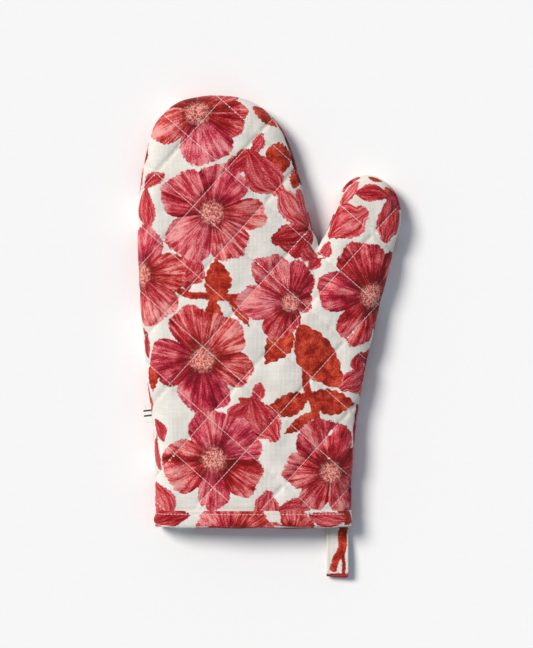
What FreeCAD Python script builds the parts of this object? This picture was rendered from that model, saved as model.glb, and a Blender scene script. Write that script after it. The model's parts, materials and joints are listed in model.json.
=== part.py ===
import FreeCAD, Part
import math
import os

import Sketcher

os.makedirs("parts", exist_ok=True)

# Oven mitt, lying on its back: fingers point along +Y, the thumb is on +X, and Z is up.
# The mitt is an envelope of nested pillow forms. Each layer is one form less the next one in,
# and the seam plane splits it into a front and a back panel.

doc = FreeCAD.newDocument("OvenMitt")
sheet = doc.addObject("Spreadsheet::Sheet", "Sizes")

cells = {
    # outline of the outer shell, round from the left end of the cuff
    "cuff_left": -85.5,
    "mouth_y": -141.9,
    "run_past_mouth": 15,
    "heel_run": 41.3,
    "heel_radius": 360,
    "palm_radius": 1225,
    "edge_radius": 253,
    "little_finger_radius": 37,
    "fingertip_radius": 72,
    "index_tip_radius": 50,
    "index_side_radius": 145,
    "index_run": 55.6,
    "crotch_radius": 3,
    "thumb_inner_run": 40.8,
    "thumb_inner_radius": 19,
    "thumb_outer_radius": 28,
    "thumb_side_radius": 96,
    "thumb_back_run": 81,
    "wrist_radius": 533,
    # turns of the outline in degrees, positive to the left
    "heel_turn": 7.5,
    "palm_turn": -6,
    "edge_turn": -18,
    "little_finger_turn": -52,
    "fingertip_turn": -38,
    "index_tip_turn": -48,
    "index_side_turn": -11.5,
    "crotch_turn": 146,
    "thumb_inner_turn": -78,
    "thumb_outer_turn": -90,
    "thumb_side_turn": -6,
    # the pillow's section
    "shell_bottom": 0.8,
    "mitt_thickness": 26.4,
    "back_round": 9,
    "front_round": 16,
    "seam_height": 10.5,
    "seam_gap": 0.3,
    # insets of the nested forms, measured inward from the outer face of the shell
    "topstitch_outside": -1.1,
    "binding_outside": -0.8,
    "thread_outside": -0.3,
    "pocket_outside": -0.1,
    "shell_outside": 0,
    "shell_inside": 0.7,
    "wadding_outside": 0.8,
    "wadding_inside": 4.7,
    "lining_outside": 4.8,
    "lining_inside": 5.4,
    "pocket_inside": 5.5,
    "binding_inside": 6.2,
    # cuff binding
    "binding_end": -142.7,
    "binding_depth": 12.7,
    "binding_cloth": 0.7,
    # reach of the boxes that trim the forms, well past the mitt on every side
    "side_reach": 150,
    "long_reach": 400,
    "tall_reach": 60,
    # quilting and stitches
    "quilt_pitch_a": 36.9,
    "quilt_pitch_b": 37.9,
    "quilt_angle_a": 48,
    "quilt_angle_b": -41.5,
    "quilt_node_x": -21,
    "quilt_node_y": -32.3,
    "quilt_reach": 300,
    "thread_width": 0.5,
    "thread_height": 0.3,
    "topstitch_inset": 2.2,
    # hanging loop
    "loop_centre_x": 51.3,
    "loop_width": 16.5,
    "loop_length": 37.6,
    "loop_cloth": 1.2,
    "loop_gap": 6,
    "loop_neck": 6,
    "loop_height": 4.5,
    "loop_clearance": 0.35,
    "edge_stitch_inset": 1.8,
    "tack_centre_x": 58.3,
    "tack_length": 6,
    "tack_rise": 1.7,
    # side tab
    "tab_centre_y": -56.7,
    "tab_hinge_x": -89,
    "tab_width": 14.2,
    "tab_length": 5.5,
    "tab_cloth": 0.8,
    "tab_corner": 1.6,
    "tab_turn": 6.8,
}

for row, (alias, value) in enumerate(cells.items(), 1):
    sheet.set(f"A{row}", alias)
    sheet.set(f"B{row}", str(value))
    sheet.setAlias(f"B{row}", alias)
doc.recompute()
size = {alias: float(sheet.get(alias)) for alias in cells}

# straight runs and bends of the outline, in order; a bend is (radius, turn)
outlineSteps = [
    "heel_run",
    ("heel_radius", "heel_turn"),
    ("palm_radius", "palm_turn"),
    ("edge_radius", "edge_turn"),
    ("little_finger_radius", "little_finger_turn"),
    ("fingertip_radius", "fingertip_turn"),
    ("index_tip_radius", "index_tip_turn"),
    ("index_side_radius", "index_side_turn"),
    "index_run",
    ("crotch_radius", "crotch_turn"),
    "thumb_inner_run",
    ("thumb_inner_radius", "thumb_inner_turn"),
    ("thumb_outer_radius", "thumb_outer_turn"),
    ("thumb_side_radius", "thumb_side_turn"),
    "thumb_back_run",
]


def inSheet(text):
    """Put the sheet's name before each alias in a sum of aliases."""
    return " ".join(f"Sizes.{word}" if word in cells else word for word in text.split())


def bind(thing, prop, text):
    """Tie one property to a sum of the sheet's aliases."""
    thing.setExpression(prop, inSheet(text))


def plane(body, role):
    """One of the body's own origin planes."""
    return next(item for item in body.Origin.OriginFeatures if item.Role == role)


def newBody(label):
    body = doc.addObject("PartDesign::Body", label)
    body.Label = label
    return body


def newSketch(body, name, role="XY_Plane"):
    sketch = body.newObject("Sketcher::SketchObject", name)
    sketch.AttachmentSupport = [(plane(body, role), "")]
    sketch.MapMode = "FlatFace"
    return sketch


def pad(body, sketch, length):
    feature = body.newObject("PartDesign::Pad", sketch.Name + "Pad")
    feature.Profile = sketch
    bind(feature, "Length", length)
    doc.recompute()
    return feature


def turned(heading):
    angle = math.radians(heading)
    return FreeCAD.Vector(math.cos(angle), math.sin(angle), 0)


def outlineCurves(inset):
    """The outline moved inward by inset, as (curve, radius alias, side) round from the cuff."""
    low = size["mouth_y"] - size["run_past_mouth"]
    here = FreeCAD.Vector(size["cuff_left"] + inset, low, 0)
    corner = here
    heading = 90.0
    wristTurn = -180.0 - sum(size[step[1]] for step in outlineSteps if isinstance(step, tuple))
    curves = []
    for step in outlineSteps + [("wrist_radius", wristTurn)]:
        if isinstance(step, str):
            length = size[step]
            if step == "heel_run":
                length += size["run_past_mouth"]
            there = here + turned(heading) * length
            curves.append((Part.LineSegment(here, there), None, 0))
        else:
            turn = step[1] if isinstance(step[1], float) else size[step[1]]
            side = math.copysign(1, turn)
            radius = size[step[0]] + side * inset
            centre = here + turned(heading + 90 * side) * radius
            first = heading - 90 * side
            there = centre + turned(first + turn) * radius
            lowAngle, highAngle = sorted((first, first + turn))
            circle = Part.Circle(centre, FreeCAD.Vector(0, 0, 1), radius)
            arc = Part.ArcOfCircle(circle, math.radians(lowAngle), math.radians(highAngle))
            curves.append((arc, step[0], side))
            heading += turn
        here = there
    foot = FreeCAD.Vector(here.x, low, 0)
    curves.append((Part.LineSegment(here, foot), None, 0))
    curves.append((Part.LineSegment(foot, corner), None, 0))
    return curves


def outlineSketch(body, alias):
    """Sketch of the outline at one inset. A right-hand arc's sketch ends run against the way round."""
    sketch = newSketch(body, alias + "Outline")
    curves = outlineCurves(size[alias])
    for curve, radiusAlias, side in curves:
        sketch.addGeometry(curve, False)
    last = len(curves) - 1
    for number, (curve, radiusAlias, side) in enumerate(curves):
        following = (number + 1) % len(curves)
        endPoint = 1 if side < 0 else 2
        startPoint = 2 if curves[following][2] < 0 else 1
        kind = "Coincident" if number >= last - 1 else "Tangent"
        sketch.addConstraint(Sketcher.Constraint(kind, number, endPoint, following, startPoint))
    for number, (curve, radiusAlias, side) in enumerate(curves):
        if radiusAlias:
            index = sketch.addConstraint(Sketcher.Constraint("Radius", number, curve.Radius))
            sketch.renameConstraint(index, radiusAlias)
            sign = "-" if side < 0 else "+"
            bind(sketch, f"Constraints.{radiusAlias}", f"{radiusAlias} {sign} {alias}")
    bind(sketch, "AttachmentOffset.Base.z", f"shell_bottom + {alias}")
    doc.recompute()
    return sketch


def roundEdges(body, base, height, radius, name):
    """Fillet the edges that lie at one height, all but the one across the mouth."""
    mouthSide = size["mouth_y"] - size["run_past_mouth"] + 0.01
    names = []
    for number, edge in enumerate(base.Shape.Edges, 1):
        box = edge.BoundBox
        if abs(box.ZMin - height) < 0.01 and abs(box.ZMax - height) < 0.01 and box.YMax > mouthSide:
            names.append(f"Edge{number}")
    fillet = body.newObject("PartDesign::Fillet", name)
    fillet.Base = (base, names)
    bind(fillet, "Radius", radius)
    doc.recompute()
    return fillet


def pillow(alias):
    """The whole mitt's form at one inset: the padded outline with its back and front rounded."""
    body = newBody(alias + "Form")
    block = pad(body, outlineSketch(body, alias), f"mitt_thickness - 2 * {alias}")
    low = size["shell_bottom"] + size[alias]
    high = size["shell_bottom"] + size["mitt_thickness"] - size[alias]
    back = roundEdges(body, block, low, f"back_round - {alias}", alias + "BackRound")
    roundEdges(body, back, high, f"front_round - {alias}", alias + "FrontRound")
    return body


def box(name, corner, sides):
    """A Part box. The three corner places and the three sides are sums of aliases."""
    item = doc.addObject("Part::Box", name)
    for prop, text in zip(("Length", "Width", "Height"), sides):
        bind(item, prop, text)
    for axis, text in zip("xyz", corner):
        bind(item, f"Placement.Base.{axis}", text)
    return item


def across(name, y, z, depth, height):
    """A box right across the mitt in X, from y and z on."""
    return box(name, ("- side_reach", y, z), ("2 * side_reach", depth, height))


def cut(name, base, tool):
    item = doc.addObject("Part::Cut", name)
    item.Base = base
    item.Tool = tool
    return item


def common(name, base, tool):
    item = doc.addObject("Part::Common", name)
    item.Base = base
    item.Tool = tool
    return item


subParts = []


def keep(item, label):
    item.Label = label
    subParts.append(item)
    return item


forms = {alias: pillow(alias) for alias in cells if alias.endswith(("_outside", "_inside"))}

# boxes that hold the front half, the back half and the seam between them, all ahead of the mouth
frontSpace = across("FrontSpace", "mouth_y", "seam_height + seam_gap / 2", "long_reach", "tall_reach")
backSpace = across("BackSpace", "mouth_y", "seam_height - seam_gap / 2 - tall_reach",
                   "long_reach", "tall_reach")
seamSpace = across("SeamSpace", "mouth_y", "seam_height - seam_gap / 2", "long_reach", "seam_gap")

# the three layers of each panel
for layer in ("shell", "wadding", "lining"):
    hollow = cut(layer + "Layer", forms[layer + "_outside"], forms[layer + "_inside"])
    keep(common(layer + "Front", hollow, frontSpace), layer + "_front")
    keep(common(layer + "Back", hollow, backSpace), layer + "_back")
    if layer == "shell":
        keep(common("sideSeam", hollow, seamSpace), "side_seam_thread")

# the binding: a strip folded over the mouth, with a pocket that holds the quilt's edge
bindingSpace = across("BindingSpace", "binding_end", "- tall_reach", "binding_depth", "2 * tall_reach")
pocketSpace = across("PocketSpace", "binding_end + binding_cloth", "- tall_reach",
                     "long_reach", "2 * tall_reach")
bindingRing = cut("BindingRing", forms["binding_outside"], forms["binding_inside"])
pocketRing = cut("PocketRing", forms["pocket_outside"], forms["pocket_inside"])
strip = common("BindingStrip", bindingRing, bindingSpace)
pocket = common("BindingPocket", pocketRing, pocketSpace)
keep(cut("CuffBinding", strip, pocket), "cuff_binding")

# topstitch round the binding and the bar tack beside the loop, both above the surface it lies on
topstitchSkin = cut("TopstitchSkin", forms["topstitch_outside"], forms["binding_outside"])
topstitchSpace = across("TopstitchSpace", "binding_end + binding_depth - topstitch_inset", "0",
                        "thread_width", "tall_reach")
keep(common("Topstitch", topstitchSkin, topstitchSpace), "binding_thread")
tackSpace = box("TackSpace", ("tack_centre_x - tack_length / 2", "binding_end + tack_rise", "seam_height"),
                ("tack_length", "thread_width", "tall_reach"))
keep(common("LoopTack", topstitchSkin, tackSpace), "loop_tack_thread")


def quiltLattice(name):
    """Upright slabs along both families of quilting lines, through one lattice node, as one shape."""
    node = FreeCAD.Vector(size["quilt_node_x"], size["quilt_node_y"], 0)
    slabs = []
    first = -5
    last = 7
    for family, other in (("a", "b"), ("b", "a")):
        turn = FreeCAD.Rotation(FreeCAD.Vector(0, 0, 1), size["quilt_angle_" + family])
        along = turn.multVec(FreeCAD.Vector(1, 0, 0))
        pitch = size["quilt_pitch_" + other]
        for number in range(first, last + 1):
            start = node + turned(size["quilt_angle_" + other]) * (pitch * number)
            slab = doc.addObject("Part::Box", f"{name}{family.upper()}{number - first}")
            bind(slab, "Length", "2 * quilt_reach")
            bind(slab, "Height", "tall_reach")
            bind(slab, "Width", "thread_width")
            slab.Placement = FreeCAD.Placement(start - along * size["quilt_reach"], turn)
            slabs.append(slab)
    lattice = doc.addObject("Part::MultiFuse", name)
    lattice.Shapes = slabs
    return lattice


# quilting thread of both panels: a thin skin on the shell, kept only along the lattice
lattice = quiltLattice("Lattice")
threadSkin = cut("ThreadSkin", forms["thread_outside"], forms["shell_outside"])
for panel, space in (("front", frontSpace), ("back", backSpace)):
    ahead = across(f"{panel}QuiltSpace", "binding_end + binding_depth + thread_width", "- tall_reach",
                   "long_reach", "2 * tall_reach")
    skinHalf = common(f"{panel}Skin", common(f"{panel}WholeSkin", threadSkin, space), ahead)
    keep(common(f"{panel}Quilting", skinHalf, lattice), f"quilt_thread_{panel}")


def point(x, y):
    return FreeCAD.Vector(x, y, 0)


def addLoopOfCurves(sketch, curves, tangents):
    """Add curves that run on from each other and close, tangent where the flag says so."""
    first = sketch.GeometryCount
    for curve in curves:
        sketch.addGeometry(curve, False)
    for number, tangent in enumerate(tangents):
        following = first + (number + 1) % len(curves)
        kind = "Tangent" if tangent else "Coincident"
        sketch.addConstraint(Sketcher.Constraint(kind, first + number, 2, following, 1))
    return first


def bindRadius(sketch, number, name, text):
    index = sketch.addConstraint(Sketcher.Constraint("Radius", number, sketch.Geometry[number].Radius))
    sketch.renameConstraint(index, name)
    bind(sketch, f"Constraints.{name}", text)


def arcAbout(centre, radius, first, last):
    circle = Part.Circle(centre, FreeCAD.Vector(0, 0, 1), radius)
    return Part.ArcOfCircle(circle, math.radians(first), math.radians(last))


# Hanging loop: a strap doubled back on itself. Its two ends are sewn together into a short neck,
# whose round end is centred on the line it swings about. The sketch is its side view: x is Y, y is Z.
cloth = size["loop_cloth"]
bendRadius = size["loop_gap"] / 2 + cloth
bendCentre = point(bendRadius - size["loop_length"], 0)
neckEnd = -size["loop_neck"]
reach = neckEnd - bendCentre.x
legSlope = math.asin(bendRadius / math.hypot(reach, cloth)) - math.atan2(cloth, reach)
legAngle = math.degrees(legSlope)
apex = point(neckEnd - cloth * (1 / math.cos(legSlope) - 1) / math.tan(legSlope), 0)


def bendPoint(radius, up):
    """Where a leg meets the bend, on the upper (up = 1) or lower (up = -1) side."""
    return bendCentre + point(math.sin(legSlope), up * math.cos(legSlope)) * radius


loopBody = newBody("hanging_loop")
loopSketch = newSketch(loopBody, "LoopSide", "YZ_Plane")
outer = addLoopOfCurves(loopSketch, [
    arcAbout(point(0, 0), cloth, -90, 90),
    Part.LineSegment(point(0, cloth), point(neckEnd, cloth)),
    Part.LineSegment(point(neckEnd, cloth), bendPoint(bendRadius, 1)),
    arcAbout(bendCentre, bendRadius, 90 - legAngle, 270 + legAngle),
    Part.LineSegment(bendPoint(bendRadius, -1), point(neckEnd, -cloth)),
    Part.LineSegment(point(neckEnd, -cloth), point(0, -cloth)),
], [True, False, True, True, False, True])
innerRadius = size["loop_gap"] / 2
inner = addLoopOfCurves(loopSketch, [
    Part.LineSegment(apex, bendPoint(innerRadius, 1)),
    arcAbout(bendCentre, innerRadius, 90 - legAngle, 270 + legAngle),
    Part.LineSegment(bendPoint(innerRadius, -1), apex),
], [True, True, False])
bindRadius(loopSketch, outer, "neck", "loop_cloth")
bindRadius(loopSketch, outer + 3, "bendOutside", "loop_gap / 2 + loop_cloth")
bindRadius(loopSketch, inner + 1, "bendInside", "loop_gap / 2")
bind(loopSketch, "AttachmentOffset.Base.z", "- loop_width / 2")
pad(loopBody, loopSketch, "loop_width")
bind(loopBody, "Placement.Base.x", "loop_centre_x")
bind(loopBody, "Placement.Base.y", "binding_end - loop_clearance - loop_cloth")
bind(loopBody, "Placement.Base.z", "loop_height")
keep(loopBody, "hanging_loop")

# the loop's edge stitching, on the outer face of the upper leg
doc.recompute()
legFoot = bendPoint(bendRadius, 1)
edgeThread = doc.addObject("Part::Box", "LoopEdgeThread")
bind(edgeThread, "Length", "thread_width")
bind(edgeThread, "Height", "thread_height")
edgeThread.Width = (point(neckEnd, cloth) - legFoot).Length
threadStart = FreeCAD.Vector(size["edge_stitch_inset"] - size["loop_width"] / 2, legFoot.x, legFoot.y)
edgeThread.Placement = FreeCAD.Placement(loopBody.Placement.Base + threadStart,
                                         FreeCAD.Rotation(FreeCAD.Vector(1, 0, 0), -legAngle))
keep(edgeThread, "loop_edge_thread")

# Side tab: a folded woven label. Its inner edge is round about the line it swings on. The sketch is
# its end view: x is X, y is Z.
tabHalf = size["tab_cloth"] / 2
tabBody = newBody("side_tab")
tabSketch = newSketch(tabBody, "TabEnd", "XZ_Plane")
tabRound = addLoopOfCurves(tabSketch, [
    arcAbout(point(0, 0), tabHalf, -90, 90),
    Part.LineSegment(point(0, tabHalf), point(-size["tab_length"], tabHalf)),
    Part.LineSegment(point(-size["tab_length"], tabHalf), point(-size["tab_length"], -tabHalf)),
    Part.LineSegment(point(-size["tab_length"], -tabHalf), point(0, -tabHalf)),
], [True, False, False, True])
bindRadius(tabSketch, tabRound, "edge", "tab_cloth / 2")
bind(tabSketch, "AttachmentOffset.Base.z", "- tab_width / 2")
tabPad = pad(tabBody, tabSketch, "tab_width")
corners = [f"Edge{number}" for number, edge in enumerate(tabPad.Shape.Edges, 1)
           if edge.BoundBox.XMax < 0.01 - size["tab_length"] and edge.BoundBox.ZLength > tabHalf]
tabCorners = tabBody.newObject("PartDesign::Fillet", "TabCorners")
tabCorners.Base = (tabPad, corners)
bind(tabCorners, "Radius", "tab_corner")
bind(tabBody, "Placement.Base.x", "tab_hinge_x")
bind(tabBody, "Placement.Base.y", "tab_centre_y")
bind(tabBody, "Placement.Base.z", "seam_height")
tabBody.Placement.Rotation = FreeCAD.Rotation(FreeCAD.Vector(0, 0, 1), size["tab_turn"])
keep(tabBody, "side_tab")

doc.recompute()

faults = [item.Label for item in doc.Objects if "Invalid" in item.State or "Error" in item.State]
for item in subParts:
    if item.Shape.isNull() or not item.Shape.isValid() or item.Shape.Volume <= 0:
        faults.append(item.Label + " shape")
if faults:
    raise RuntimeError("failed: " + ", ".join(faults))

for item in subParts:
    item.Shape.exportStep(f"parts/{item.Label}.step")
    print(f"{item.Label:20} {len(item.Shape.Solids):3} solids {item.Shape.Volume:11.1f} mm3")
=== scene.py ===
import json
import math

import bmesh
import bpy
import numpy as np
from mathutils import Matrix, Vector
from mathutils.bvhtree import BVHTree
from mathutils.geometry import delaunay_2d_cdt


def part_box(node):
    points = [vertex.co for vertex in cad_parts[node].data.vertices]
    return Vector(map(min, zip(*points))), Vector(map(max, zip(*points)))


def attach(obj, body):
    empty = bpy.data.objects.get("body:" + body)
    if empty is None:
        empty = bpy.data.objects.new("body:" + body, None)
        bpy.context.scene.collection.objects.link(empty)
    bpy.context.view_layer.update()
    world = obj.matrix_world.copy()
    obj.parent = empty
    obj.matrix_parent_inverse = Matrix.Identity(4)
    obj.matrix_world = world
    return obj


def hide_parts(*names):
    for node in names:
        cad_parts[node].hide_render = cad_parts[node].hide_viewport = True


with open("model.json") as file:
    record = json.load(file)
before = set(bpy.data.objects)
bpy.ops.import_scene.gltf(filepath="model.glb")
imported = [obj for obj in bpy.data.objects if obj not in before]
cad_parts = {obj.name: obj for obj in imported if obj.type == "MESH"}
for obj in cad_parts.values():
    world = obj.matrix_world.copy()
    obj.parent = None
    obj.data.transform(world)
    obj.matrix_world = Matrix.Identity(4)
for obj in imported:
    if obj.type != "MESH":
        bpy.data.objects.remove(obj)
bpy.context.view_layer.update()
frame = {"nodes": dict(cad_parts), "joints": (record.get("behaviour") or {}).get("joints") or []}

# A quilted oven mitt lying on its back. All the mesh work is in millimetres, and newPiece turns it
# to metres. The outline, the heights and the hinges come from the frame.
mm = 0.001
mittBody, loopBody, tabBody = "mitt", "loop", "tab"


def nodeBox(name):
    low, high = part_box(name)
    return np.array(low) / mm, np.array(high) / mm


shellLow, shellHigh = nodeBox("shell_front")
backLow = nodeBox("shell_back")[0]
bindingLow, bindingHigh = nodeBox("cuff_binding")
loopLow, loopHigh = nodeBox("hanging_loop")
mouthY = shellLow[1]

form = {
    "frontRound": 16.0,  # how far in from the edge the front's rounding reaches
    "backRound": 9.0,
    "frontFlatness": 0.74,  # height of the front's rounding over its reach
    "crown": 4.6,  # rise from the end of the rounding to the middle
    "crownReach": 24.0,
    "pressedIn": 0.9,  # where the back rests, only relief lower than this stays, at the share below
    "pressedShare": 0.55,
    "shellCloth": 0.55,
    "waddingFrom": 0.8,
    "waddingTo": 4.6,
    "liningFrom": 4.75,
    "liningTo": 5.3,
    "grid": 1.2,
    "innerGrid": 3.2,
}
frontCentreZ = shellHigh[2] - form["frontRound"]
backCentreZ = backLow[2] + form["backRound"]

quilt = {
    "nodeX": -21.0,  # where two of the lines cross
    "nodeY": -32.3,
    "angleA": 48.0,
    "angleB": -41.5,
    "pitchA": 36.9,
    "pitchB": 37.9,
    "groove": 0.7,
    "grooveWidth": 1.5,
    "puff": 1.6,
    "puffWidth": 7.0,
    "unevenPuff": 0.25,
    "wave": 0.5,  # soft dents, 34 mm from one to the next
    "wrinkle": 0.24,  # finer ones at 13 mm
    "pucker": 0.22,  # small ripples that the stitches pull up beside themselves
    "calmAtMouth": 0.25,  # how much of all this is left beside the binding
    "mouthDip": 0.7,  # where the binding's stitches draw the shell in
    "mouthDipWidth": 1.7,
    "tabClearance": 11.5,  # how far from the side tab's hinge the back's rows of stitches end
}


def direction(degrees):
    angle = math.radians(degrees)
    return np.array([math.cos(angle), math.sin(angle)])


def smoothStep(value, low, high):
    share = np.clip((value - low) / (high - low), 0, 1)
    return share * share * (3 - 2 * share)


def ripple(x, y, wavelength, seed, waves=7):
    # soft seeded unevenness, about -1 to 1
    random = np.random.default_rng(seed)
    total = 0
    for _ in range(waves):
        heading = direction(random.uniform(0, 360))
        length = wavelength * random.uniform(0.6, 1.7)
        total = total + np.sin((x * heading[0] + y * heading[1]) * math.tau / length + random.uniform(0, 7))
    return total / math.sqrt(waves) * 0.7


def unit(rows):
    return rows / np.linalg.norm(rows, axis=1)[:, None]


def runLength(points):
    # how far along a path each of its points lies
    return np.concatenate([[0], np.cumsum(np.linalg.norm(np.diff(points, axis=0), axis=1))])


def smoothed(values, sigma):
    # a Gaussian average along a path, with its ends mirrored
    reach = int(sigma * 3) + 1
    weights = np.exp(-0.5 * (np.arange(-reach, reach + 1) / sigma) ** 2)
    weights /= weights.sum()
    first, last = values[:1], values[-1:]
    padded = np.concatenate([2 * first - values[reach:0:-1], values, 2 * last - values[-2:-reach - 2:-1]])
    return np.stack([np.convolve(padded[:, k], weights, "valid") for k in range(values.shape[1])], 1)


def seamPath():
    # the outer edge of the side seam, from the left end of the cuff round to the right end
    bm = bmesh.new()
    bm.from_mesh(frame["nodes"]["side_seam_thread"].data)
    bmesh.ops.remove_doubles(bm, verts=bm.verts, dist=1e-6)
    floorZ = min(v.co.z for v in bm.verts)
    mouth = min(v.co.y for v in bm.verts)
    links = {}
    for edge in bm.edges:
        a, b = edge.verts
        if max(a.co.z, b.co.z) > floorZ + 1e-6 or max(a.co.y, b.co.y) < mouth + 1e-6:
            continue
        flat = [abs(face.normal.z) > 0.7 for face in edge.link_faces]
        if len(flat) == 2 and flat[0] != flat[1]:
            links.setdefault(a, []).append(b)
            links.setdefault(b, []).append(a)
    here = min((v for v in links if len(links[v]) == 1), key=lambda v: v.co.x)
    path = [here]
    previous = None
    while True:
        onward = [v for v in links[here] if v is not previous]
        if not onward:
            break
        previous, here = here, onward[0]
        path.append(here)
    points = np.array([(v.co.x, v.co.y) for v in path]) / mm
    bm.free()
    return points


def resampled(points, step, measure=None):
    if measure is None:
        measure = runLength(points)
    marks = np.linspace(0, measure[-1], max(2, round(measure[-1] / step)) + 1)
    return np.stack([np.interp(marks, measure, points[:, k]) for k in range(points.shape[1])], 1)


def outlineOf(step):
    # points and outward normals round the seam, closer together in the crotch
    fine = smoothed(resampled(seamPath(), 0.5), 2.4)
    along = unit(smoothed(unit(np.gradient(fine, axis=0)), 5))
    heading = np.unwrap(np.arctan2(along[:, 1], along[:, 0]))
    bend = np.clip(np.gradient(heading) / 0.5, 0, None)
    gaps = np.linalg.norm(np.diff(fine, axis=0), axis=1)
    measure = np.concatenate([[0], np.cumsum(gaps * (1 + 9 * (bend[1:] + bend[:-1]) / 2))])
    both = resampled(np.concatenate([fine, along], 1), step, measure)
    points, along = both[:, :2], unit(both[:, 2:])
    points[0, 1] = points[-1, 1] = mouthY
    along[0] = (0, 1)
    along[-1] = (0, -1)
    normals = np.stack([-along[:, 1], along[:, 0]], 1)
    return pinchCrotch(points, normals), normals


def pinchCrotch(points, normals):
    # the seam's clipped corner between finger and thumb closes to a narrow notch
    gap = np.linalg.norm(np.diff(points, axis=0), axis=1)
    turn = normals[:-1, 0] * normals[1:, 1] - normals[:-1, 1] * normals[1:, 0]
    corner = int(np.argmax(turn / gap))
    bottom, outward = points[corner], normals[corner]
    away = points - bottom
    depth = away @ outward
    sideways = np.array([-outward[1], outward[0]])
    across = away @ sideways
    share = 0.3 + 0.7 * smoothStep(depth, 0, 11)
    near = (np.abs(across) < 12) & (depth < 12) & (depth > -1)
    return points + np.where(near, across * (share - 1), 0)[:, None] * sideways


outlineFine = outlineOf(0.9)[0]


def edgeDistance(xy):
    # distance in from the outline, for many points
    result = np.empty(len(xy))
    for first in range(0, len(xy), 4000):
        chunk = xy[first:first + 4000]
        gap = np.linalg.norm(chunk[:, None] - outlineFine[None], axis=2)
        result[first:first + 4000] = gap.min(1)
    return result


print("outline", len(outlineFine), "points")


seam = {
    "rolledUp": 26.0,  # degrees up the side, at the most
    "threadIn": 0.25,  # how deep the seam's thread lies
    "dip": 0.8,
    "dipWidth": 1.1,
    "bead": 0.35,  # the cloth that swells up beside the dip
    "beadAt": 3.2,
    "beadWidth": 1.6,
}


# Each point of a panel keeps its centre (x, y), its sideways normal, its turn up from the seam and
# its distance in, so one set of faces serves every layer at its own inset.
def seamTurn(points):
    # how far up the front the seam lies: it rolls up on the thumb's side of the hand
    x, y = points[:, 0], points[:, 1]
    finger = smoothStep(x, -20, 12) * smoothStep(y, 62, 100)
    thumb = smoothStep(x, 45, 66) * smoothStep(y, 60, 95)
    wrist = smoothStep(x, 40, 60) * smoothStep(-y, -20, 40) * smoothStep(y, -141, -120)
    share = np.clip(finger + thumb + wrist, 0, 1) * (0.85 + 0.15 * ripple(x, y, 60, 5))
    return np.radians(seam["rolledUp"]) * share


# each family of quilting lines: its direction and the step from one of its lines to the next
lineA, lineB = direction(quilt["angleA"]), direction(quilt["angleB"])
quiltFamilies = [(lineA, lineB * quilt["pitchB"]), (lineB, lineA * quilt["pitchA"])]


def quiltLines(x, y):
    # signed distance to the nearest line of each family, and which way that line's side faces
    lines = []
    for along, step in quiltFamilies:
        side = np.array([-along[1], along[0]])
        spacing = abs(step @ side)
        across = (x - quilt["nodeX"]) * side[0] + (y - quilt["nodeY"]) * side[1]
        lines.append((across - spacing * np.round(across / spacing), side))
    return lines


def quiltGap(x, y):
    # distance to the nearest quilting line
    return np.minimum(*[np.abs(across) for across, _ in quiltLines(x, y)])


def snapToQuilt(points, reach):
    # grid points near a quilting line move onto it, so the groove has a clean bottom
    for family in (0, 1):
        across, side = quiltLines(points[:, 0], points[:, 1])[family]
        near = np.abs(across) < reach
        points = points - np.where(near, across, 0)[:, None] * side
    return points


def fillLoop(loop, step):
    # triangles that fill a closed loop, on a grid of about the given step
    low, high = loop.min(0), loop.max(0)
    rows = np.arange(low[1] + step / 2, high[1], step * 0.866)
    grid = []
    for number, y in enumerate(rows):
        xs = np.arange(low[0] + (number % 2) * step / 2, high[0], step)
        grid.append(np.stack([xs, np.full_like(xs, y)], 1))
    grid = np.concatenate(grid)
    following = np.roll(loop, -1, axis=0)
    inside = np.zeros(len(grid), bool)
    near = np.full(len(grid), 1e9)
    for a, b in zip(loop, following):
        crosses = (a[1] > grid[:, 1]) != (b[1] > grid[:, 1])
        if a[1] != b[1]:
            inside ^= crosses & (grid[:, 0] < (b[0] - a[0]) * (grid[:, 1] - a[1]) / (b[1] - a[1]) + a[0])
        near = np.minimum(near, np.hypot(*(grid - a).T))
    grid = snapToQuilt(grid[inside & (near > step * 0.9)], step * 0.45)
    points = [Vector(p) for p in np.concatenate([loop, grid])]
    edges = [(k, (k + 1) % len(loop)) for k in range(len(loop))]
    verts, _, faces, origins, _, _ = delaunay_2d_cdt(points, edges, [], 1, 1e-5)
    return np.array([tuple(v) for v in verts]), [list(f) for f in faces], origins


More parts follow.
